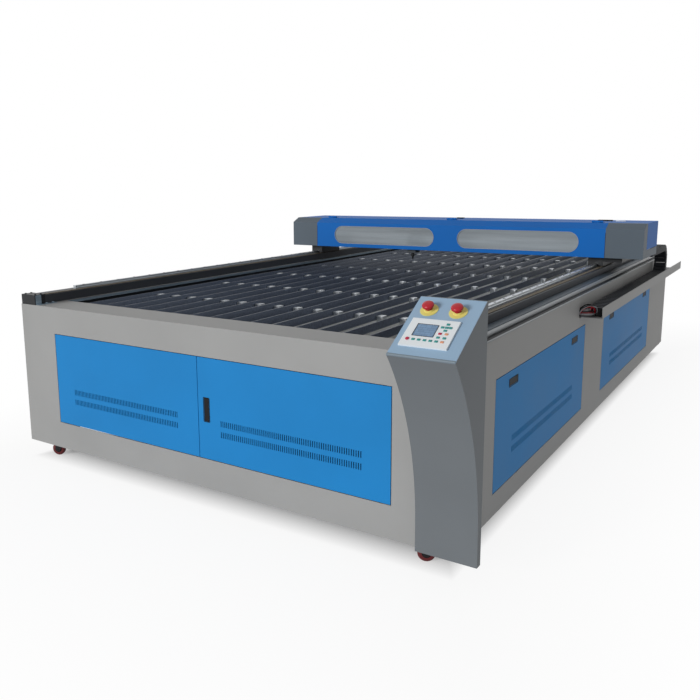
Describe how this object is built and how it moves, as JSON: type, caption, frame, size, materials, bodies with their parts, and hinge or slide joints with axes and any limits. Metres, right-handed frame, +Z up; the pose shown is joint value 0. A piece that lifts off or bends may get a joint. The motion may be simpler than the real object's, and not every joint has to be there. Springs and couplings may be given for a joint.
{
  "type": "flatbed laser cutter",
  "caption": "Wide low laser cutting machine with an open slatted bed, a windowed gantry that travels along it, a cable chain and a sloped control pod.",
  "frame": {"origin": "middle of the footprint, on the floor", "axes": "+X runs to the right along the front, +Y runs from the front to the back, +Z is up"},
  "size_m": [2.512, 4.558, 1.1173],
  "materials": {
    "grey_paint": "semi-gloss grey powder coat",
    "dark_grey_paint": "semi-gloss dark grey powder coat",
    "blue_paint": "semi-gloss blue powder coat",
    "frame_paint": "matt dark grey paint",
    "black_paint": "black anodised or painted",
    "panel_paint": "light blue-grey metallic paint",
    "steel": "bright machined steel",
    "slat_metal": "dark extruded slats",
    "aluminium": "mill finish",
    "belt_rubber": "ribbed belt",
    "wire_sleeve": "wire insulation",
    "chain_plastic": "moulded black plastic",
    "black_plastic": "moulded black plastic",
    "white_plastic": "moulded light plastic",
    "screen": "dark display",
    "yellow_plastic": "yellow plate",
    "red_plastic": "red mushroom head",
    "module_paint": "module housings",
    "window_sheet": "clear window sheet",
    "tube_glass": "sealed glass tube",
    "tread": "dark red caster tread"
  },
  "bodies": {
    "machine": {"base_frame": "frame_paint", "front_panel": "grey_paint", "left_panel": "grey_paint", "right_panel": "grey_paint", "rear_panel": "grey_paint", "exhaust_spigots": "aluminium", "dust_tray": "frame_paint", "bed_crossbars": "aluminium", "bed_slats": "slat_metal", "slat_clips": "aluminium", "bed_edge_strips": "aluminium", "rail_beams": "black_paint", "guide_rails": "steel", "drive_belts": "belt_rubber", "belt_end_blocks": "black_paint", "shaft_bearings": "frame_paint", "drive_motor": "black_paint", "chain_tray": "grey_paint", "cable_chain": "chain_plastic", "chain_wires": "wire_sleeve", "pod_shell": "dark_grey_paint", "control_panel": "panel_paint", "controller": "white_plastic", "controller_screen": "screen", "stop_plates": "yellow_plastic", "equipment_plate": "steel", "control_modules": "module_paint"},
    "left_door": {"left_door": "blue_paint"},
    "right_door": {"right_door": "blue_paint"},
    "door_lock": {"door_lock": "black_plastic"},
    "front_access_panel": {"front_access_panel": "blue_paint"},
    "rear_access_panel": {"rear_access_panel": "blue_paint"},
    "front_lock_1": {"front_lock_1": "black_plastic"},
    "front_lock_2": {"front_lock_2": "black_plastic"},
    "rear_lock_1": {"rear_lock_1": "black_plastic"},
    "rear_lock_2": {"rear_lock_2": "black_plastic"},
    "left_stop_button": {"left_stop_button": "red_plastic"},
    "right_stop_button": {"right_stop_button": "red_plastic"},
    "gantry": {"gantry_beam": "aluminium", "gantry_trucks": "black_paint", "gantry_cover": "blue_paint", "gantry_windows": "window_sheet", "gantry_end_caps": "dark_grey_paint", "laser_tube": "tube_glass", "tube_clamps": "black_plastic", "head_guide": "steel", "head_belt": "belt_rubber", "head_drive": "black_paint"},
    "gantry_lid": {"gantry_lid": "blue_paint"},
    "head": {"head_carriage": "frame_paint"},
    "lens_tube": {"lens_tube": "black_paint"},
    "drive_shaft": {"drive_shaft": "steel"},
    "front_left_fork": {"front_left_fork": "steel"},
    "front_left_wheel": {"front_left_wheel": "tread"},
    "front_right_fork": {"front_right_fork": "steel"},
    "front_right_wheel": {"front_right_wheel": "tread"},
    "rear_left_fork": {"rear_left_fork": "steel"},
    "rear_left_wheel": {"rear_left_wheel": "tread"},
    "rear_right_fork": {"rear_right_fork": "steel"},
    "rear_right_wheel": {"rear_right_wheel": "tread"}
  },
  "joints": [
    {"name": "left_door_hinge", "type": "hinge", "parent": "machine", "child": "left_door", "pos_m": [-0.8945, -2.011, 0.441], "axis": [0, 0, -1], "range_deg": [0, 100]},
    {"name": "right_door_hinge", "type": "hinge", "parent": "machine", "child": "right_door", "pos_m": [0.8945, -2.011, 0.441], "axis": [0, 0, 1], "range_deg": [0, 100]},
    {"name": "door_lock_pull", "type": "hinge", "parent": "right_door", "child": "door_lock", "pos_m": [0.0465, -2.017, 0.483], "axis": [-1, 0, 0], "range_deg": [0, 50]},
    {"name": "front_access_panel_tilt", "type": "hinge", "parent": "machine", "child": "front_access_panel", "pos_m": [1.137, -0.9905, 0.193], "axis": [0, 1, 0], "range_deg": [0, 30]},
    {"name": "rear_access_panel_tilt", "type": "hinge", "parent": "machine", "child": "rear_access_panel", "pos_m": [1.137, 0.7865, 0.193], "axis": [0, 1, 0], "range_deg": [0, 30]},
    {"name": "front_lock_1_pull", "type": "hinge", "parent": "front_access_panel", "child": "front_lock_1", "pos_m": [1.143, -1.492, 0.586], "axis": [0, 0, -1], "range_deg": [0, 50]},
    {"name": "front_lock_2_pull", "type": "hinge", "parent": "front_access_panel", "child": "front_lock_2", "pos_m": [1.143, -0.581, 0.586], "axis": [0, 0, -1], "range_deg": [0, 50]},
    {"name": "rear_lock_1_pull", "type": "hinge", "parent": "rear_access_panel", "child": "rear_lock_1", "pos_m": [1.143, 0.236, 0.586], "axis": [0, 0, -1], "range_deg": [0, 50]},
    {"name": "rear_lock_2_pull", "type": "hinge", "parent": "rear_access_panel", "child": "rear_lock_2", "pos_m": [1.143, 1.245, 0.586], "axis": [0, 0, -1], "range_deg": [0, 50]},
    {"name": "left_stop_press", "type": "slide", "parent": "machine", "child": "left_stop_button", "axis": [0, -0.5155, 0.8569], "range_m": [-0.006, 0], "stiffness_N_per_m": 1500, "springref_m": 0.004},
    {"name": "right_stop_press", "type": "slide", "parent": "machine", "child": "right_stop_button", "axis": [0, -0.5155, 0.8569], "range_m": [-0.006, 0], "stiffness_N_per_m": 1500, "springref_m": 0.004},
    {"name": "gantry_slide", "type": "slide", "parent": "machine", "child": "gantry", "axis": [0, 1, 0], "range_m": [-2.2, 0.95], "deforming": ["cable_chain"]},
    {"name": "gantry_lid_hinge", "type": "hinge", "parent": "gantry", "child": "gantry_lid", "pos_m": [0, 0.613, 1.1113], "axis": [1, 0, 0], "range_deg": [0, 85]},
    {"name": "head_slide", "type": "slide", "parent": "gantry", "child": "head", "axis": [1, 0, 0], "range_m": [-0.672, 1.128]},
    {"name": "focus_slide", "type": "slide", "parent": "head", "child": "lens_tube", "axis": [0, 0, 1], "range_m": [-0.01, 0.01]},
    {"name": "drive_shaft_turn", "type": "hinge", "parent": "machine", "child": "drive_shaft", "pos_m": [0, 2.094, 0.8162], "axis": [1, 0, 0], "continuous": true},
    {"name": "front_left_swivel", "type": "hinge", "parent": "machine", "child": "front_left_fork", "pos_m": [-1.027, -1.926, 0.086], "axis": [0, 0, 1], "continuous": true},
    {"name": "front_left_roll", "type": "hinge", "parent": "front_left_fork", "child": "front_left_wheel", "pos_m": [-1.04527, -1.93413, 0.033], "axis": [-0.4067, 0.9135, 0], "continuous": true},
    {"name": "front_right_swivel", "type": "hinge", "parent": "machine", "child": "front_right_fork", "pos_m": [1.027, -1.926, 0.086], "axis": [0, 0, 1], "continuous": true},
    {"name": "front_right_roll", "type": "hinge", "parent": "front_right_fork", "child": "front_right_wheel", "pos_m": [1.00873, -1.93413, 0.033], "axis": [-0.4067, 0.9135, 0], "continuous": true},
    {"name": "rear_left_swivel", "type": "hinge", "parent": "machine", "child": "rear_left_fork", "pos_m": [-1.027, 2.084, 0.086], "axis": [0, 0, 1], "continuous": true},
    {"name": "rear_left_roll", "type": "hinge", "parent": "rear_left_fork", "child": "rear_left_wheel", "pos_m": [-1.04527, 2.07587, 0.033], "axis": [-0.4067, 0.9135, 0], "continuous": true},
    {"name": "rear_right_swivel", "type": "hinge", "parent": "machine", "child": "rear_right_fork", "pos_m": [1.027, 2.084, 0.086], "axis": [0, 0, 1], "continuous": true},
    {"name": "rear_right_roll", "type": "hinge", "parent": "rear_right_fork", "child": "rear_right_wheel", "pos_m": [1.00873, 2.07587, 0.033], "axis": [-0.4067, 0.9135, 0], "continuous": true}
  ],
  "couplings": [
    {"joint": "drive_shaft_turn", "follows": "gantry_slide", "rad_per_m": -56.18}
  ]
}
